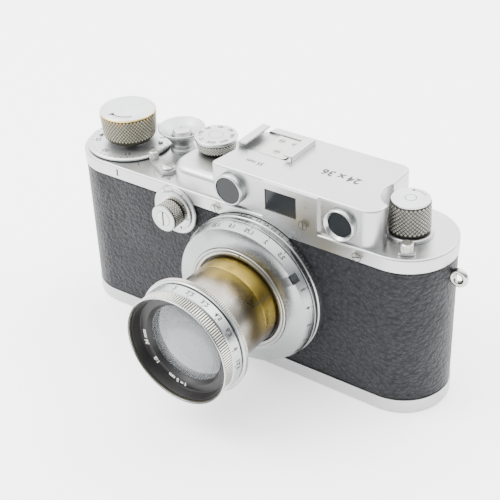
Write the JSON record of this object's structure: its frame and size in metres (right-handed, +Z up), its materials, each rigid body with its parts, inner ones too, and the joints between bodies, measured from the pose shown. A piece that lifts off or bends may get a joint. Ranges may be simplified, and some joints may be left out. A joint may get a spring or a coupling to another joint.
{
  "type": "rangefinder camera",
  "caption": "Compact rangefinder camera with rounded ends, knob winding, a finder housing and a collapsible lens, in separate working pieces.",
  "frame": {"origin": "centre of the base plate's underside", "axes": "+Z up out of the top plate, -Y along the lens to the front, +X to the rewind side (right of a viewer who faces the lens)"},
  "size_m": [0.1426, 0.0713, 0.0692],
  "materials": {
    "satin_chrome": "satin, fine-grained matt chrome",
    "black_covering": "pebbled hard rubber covering",
    "aged_nickel": "worn nickel over golden brass",
    "bright_steel": "polished",
    "brass": "turned",
    "aluminium": "die-cast, plain",
    "black_enamel": "semi-gloss black",
    "optical_glass": "polished",
    "curtain_cloth": "rubberised cloth"
  },
  "bodies": {
    "body": {"body_shell": "aluminium", "body_covering": "black_covering", "top_plate": "satin_chrome", "finder_housing": "satin_chrome", "accessory_shoe": "satin_chrome", "shoe_spring": "bright_steel", "cover_screws": "bright_steel", "adjuster_plug": "black_enamel", "window_bezels": "satin_chrome", "window_glasses": "optical_glass", "viewfinder_glass": "optical_glass", "eyepieces": "black_enamel", "strap_lugs": "bright_steel", "shutter_crate": "aluminium", "pressure_plate": "black_enamel", "shutter_curtains": "curtain_cloth", "rangefinder_block": "aluminium", "release_collar": "satin_chrome", "clutch_screw": "bright_steel", "slow_dial_plate": "satin_chrome", "lens_mount": "satin_chrome", "lens_base": "satin_chrome"},
    "base_plate": {"base_plate": "satin_chrome", "tripod_bush": "brass"},
    "base_key": {"base_key": "satin_chrome"},
    "key_handle": {"key_handle": "satin_chrome"},
    "wind": {"wind_knob": "satin_chrome", "wind_shaft": "bright_steel", "take_up_spool": "aluminium"},
    "counter": {"counter_dial": "satin_chrome"},
    "sprocket": {"film_sprocket": "brass"},
    "drum": {"shutter_drum": "brass"},
    "curtain_roller": {"curtain_roller": "brass"},
    "dial_bush": {"dial_bush": "bright_steel"},
    "speed_dial": {"speed_dial": "satin_chrome"},
    "release": {"release_button": "satin_chrome"},
    "clutch": {"clutch_lever": "satin_chrome"},
    "slow_dial": {"slow_speed_dial": "satin_chrome", "slow_dial_screw": "bright_steel"},
    "rewind_shaft": {"rewind_shaft": "bright_steel"},
    "rewind_knob": {"rewind_knob": "satin_chrome"},
    "dioptre": {"dioptre_lever": "satin_chrome"},
    "focus": {"focus_ring": "satin_chrome", "focus_lever": "satin_chrome"},
    "infinity_lock": {"infinity_button": "satin_chrome"},
    "carrier": {"lens_carrier": "satin_chrome"},
    "sleeve": {"guide_sleeve": "aged_nickel"},
    "tube": {"lens_tube": "aged_nickel", "lens_head": "satin_chrome", "front_cell": "black_enamel", "front_glass": "optical_glass", "rear_glass": "optical_glass"},
    "aperture": {"aperture_ring": "satin_chrome"},
    "rangefinder_arm": {"rangefinder_arm": "bright_steel"},
    "iris_1": {"iris_blade_1": "black_enamel"},
    "iris_2": {"iris_blade_2": "black_enamel"},
    "iris_3": {"iris_blade_3": "black_enamel"},
    "iris_4": {"iris_blade_4": "black_enamel"},
    "iris_5": {"iris_blade_5": "black_enamel"},
    "iris_6": {"iris_blade_6": "black_enamel"}
  },
  "joints": [
    {"name": "base_plate_removal", "type": "slide", "parent": "body", "child": "base_plate", "axis": [0, 0, -1], "range_m": [0, 0.04]},
    {"name": "base_key_turn", "type": "hinge", "parent": "base_plate", "child": "base_key", "pos_m": [0.0515, 0, 0], "axis": [0, 0, 1], "range_deg": [0, 180]},
    {"name": "key_handle_fold", "type": "hinge", "parent": "base_key", "child": "key_handle", "pos_m": [0.0515, 0, 0.00045], "axis": [-1, 0, 0], "range_deg": [0, 90]},
    {"name": "wind_turn", "type": "hinge", "parent": "body", "child": "wind", "pos_m": [-0.05125, 0, 0.06], "axis": [0, 0, 1], "continuous": true},
    {"name": "counter_turn", "type": "hinge", "parent": "body", "child": "counter", "pos_m": [-0.05125, 0, 0.056], "axis": [0, 0, 1], "continuous": true},
    {"name": "sprocket_turn", "type": "hinge", "parent": "body", "child": "sprocket", "pos_m": [-0.034, 0.0057, 0.04], "axis": [0, 0, 1], "continuous": true},
    {"name": "drum_turn", "type": "hinge", "parent": "body", "child": "drum", "pos_m": [-0.0164, 0.001, 0.04], "axis": [0, 0, 1], "continuous": true},
    {"name": "curtain_roller_turn", "type": "hinge", "parent": "body", "child": "curtain_roller", "pos_m": [0.034, 0.0035, 0.04], "axis": [0, 0, 1], "continuous": true},
    {"name": "speed_setting", "type": "hinge", "parent": "drum", "child": "dial_bush", "pos_m": [-0.0164, 0.001, 0.064], "axis": [0, 0, 1], "range_deg": [0, 300]},
    {"name": "speed_dial_lift", "type": "slide", "parent": "dial_bush", "child": "speed_dial", "axis": [0, 0, 1], "range_m": [0, 0.0018]},
    {"name": "release_press", "type": "slide", "parent": "body", "child": "release", "axis": [0, 0, -1], "range_m": [0, 0.002], "stiffness_N_per_m": 300, "springref_m": -0.002},
    {"name": "clutch_turn", "type": "hinge", "parent": "body", "child": "clutch", "pos_m": [-0.0285, -0.0089, 0.056], "axis": [0, 0, 1], "range_deg": [0, 50]},
    {"name": "slow_speed_turn", "type": "hinge", "parent": "body", "child": "slow_dial", "pos_m": [-0.0212, -0.018, 0.0469], "axis": [0, -1, 0], "range_deg": [0, 210]},
    {"name": "rewind_turn", "type": "hinge", "parent": "body", "child": "rewind_shaft", "pos_m": [0.0521, 0, 0.06], "axis": [0, 0, 1], "continuous": true},
    {"name": "rewind_knob_lift", "type": "slide", "parent": "rewind_shaft", "child": "rewind_knob", "axis": [0, 0, 1], "range_m": [0, 0.003]},
    {"name": "dioptre_turn", "type": "hinge", "parent": "body", "child": "dioptre", "pos_m": [0.0521, 0, 0.056], "axis": [0, 0, 1], "range_deg": [-20, 50]},
    {"name": "focus_turn", "type": "hinge", "parent": "body", "child": "focus", "pos_m": [0.00825, -0.02, 0.0297], "axis": [0, -1, 0], "range_deg": [0, 170]},
    {"name": "infinity_press", "type": "slide", "parent": "focus", "child": "infinity_lock", "axis": [0, 1, 0], "range_m": [0, 0.001], "stiffness_N_per_m": 300, "springref_m": -0.001},
    {"name": "carrier_travel", "type": "slide", "parent": "body", "child": "carrier", "axis": [0, -1, 0], "range_m": [0, 0.0027]},
    {"name": "rangefinder_arm_swing", "type": "hinge", "parent": "body", "child": "rangefinder_arm", "pos_m": [0.0098, -0.01, 0.0522], "axis": [-1, 0, 0], "range_deg": [0, 24.9]},
    {"name": "tube_twist", "type": "hinge", "parent": "carrier", "child": "sleeve", "pos_m": [0.00825, -0.02, 0.0297], "axis": [0, -1, 0], "range_deg": [0, 45]},
    {"name": "tube_collapse", "type": "slide", "parent": "sleeve", "child": "tube", "axis": [0, 1, 0], "range_m": [0, 0.0195]},
    {"name": "aperture_turn", "type": "hinge", "parent": "tube", "child": "aperture", "pos_m": [0.00825, -0.053, 0.0297], "axis": [0, -1, 0], "range_deg": [0, 75]},
    {"name": "iris_1_swing", "type": "hinge", "parent": "tube", "child": "iris_1", "pos_m": [0.02045, -0.043, 0.0297], "axis": [0, -1, 0], "range_deg": [0, 40]},
    {"name": "iris_2_swing", "type": "hinge", "parent": "tube", "child": "iris_2", "pos_m": [0.01435, -0.04316, 0.04027], "axis": [0, -1, 0], "range_deg": [0, 40]},
    {"name": "iris_3_swing", "type": "hinge", "parent": "tube", "child": "iris_3", "pos_m": [0.00215, -0.04332, 0.04027], "axis": [0, -1, 0], "range_deg": [0, 40]},
    {"name": "iris_4_swing", "type": "hinge", "parent": "tube", "child": "iris_4", "pos_m": [-0.00395, -0.04348, 0.0297], "axis": [0, -1, 0], "range_deg": [0, 40]},
    {"name": "iris_5_swing", "type": "hinge", "parent": "tube", "child": "iris_5", "pos_m": [0.00215, -0.04364, 0.01913], "axis": [0, -1, 0], "range_deg": [0, 40]},
    {"name": "iris_6_swing", "type": "hinge", "parent": "tube", "child": "iris_6", "pos_m": [0.01435, -0.0438, 0.01913], "axis": [0, -1, 0], "range_deg": [0, 40]}
  ],
  "couplings": [
    {"joint": "counter_turn", "follows": "wind_turn", "ratio": 0.025},
    {"joint": "sprocket_turn", "follows": "wind_turn", "ratio": -1.5714},
    {"joint": "drum_turn", "follows": "wind_turn", "ratio": 1},
    {"joint": "curtain_roller_turn", "follows": "wind_turn", "ratio": 2.5},
    {"joint": "carrier_travel", "follows": "focus_turn", "m_per_rad": 0.0009099},
    {"joint": "rangefinder_arm_swing", "follows": "focus_turn", "ratio": 0.14646},
    {"joint": "iris_1_swing", "follows": "aperture_turn", "ratio": 0.53328},
    {"joint": "iris_2_swing", "follows": "aperture_turn", "ratio": 0.53328},
    {"joint": "iris_3_swing", "follows": "aperture_turn", "ratio": 0.53328},
    {"joint": "iris_4_swing", "follows": "aperture_turn", "ratio": 0.53328},
    {"joint": "iris_5_swing", "follows": "aperture_turn", "ratio": 0.53328},
    {"joint": "iris_6_swing", "follows": "aperture_turn", "ratio": 0.53328}
  ]
}
